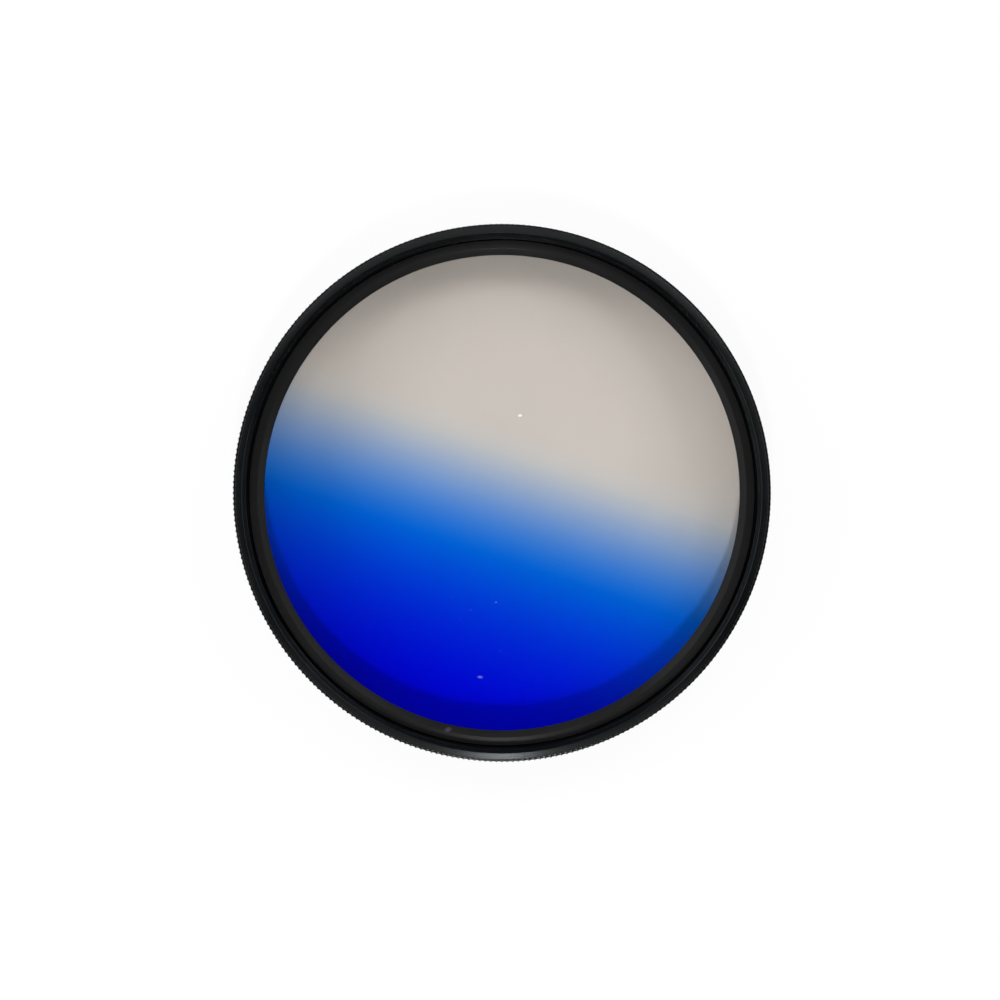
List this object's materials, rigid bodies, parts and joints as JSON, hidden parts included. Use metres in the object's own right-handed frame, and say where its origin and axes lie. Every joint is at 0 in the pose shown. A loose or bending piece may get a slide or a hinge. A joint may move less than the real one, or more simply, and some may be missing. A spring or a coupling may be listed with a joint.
{
  "type": "graduated colour filter",
  "caption": "Round screw-in colour filter for a lens: a glass disc that fades from clear to blue, held in a knurled black mount ring by a plain retaining ring.",
  "frame": {"origin": "on the optical axis, in the plane of the rear end of the male thread that the filter lies on", "axes": "+Z along the optical axis, out of the front with the retaining ring; +Y towards the clear side of the glass, up in the picture; +X to the right in the picture"},
  "size_m": [0.054, 0.054, 0.0077],
  "materials": {
    "mount_black": "satin black anodised, knurled on the rim",
    "graduated_blue": "polished, clear on one half and fading to deep blue on the other",
    "ring_black": "satin black anodised, finely turned"
  },
  "bodies": {
    "root": {"mount_ring": "mount_black", "graduated_glass": "graduated_blue", "retaining_ring": "ring_black"}
  },
  "joints": []
}
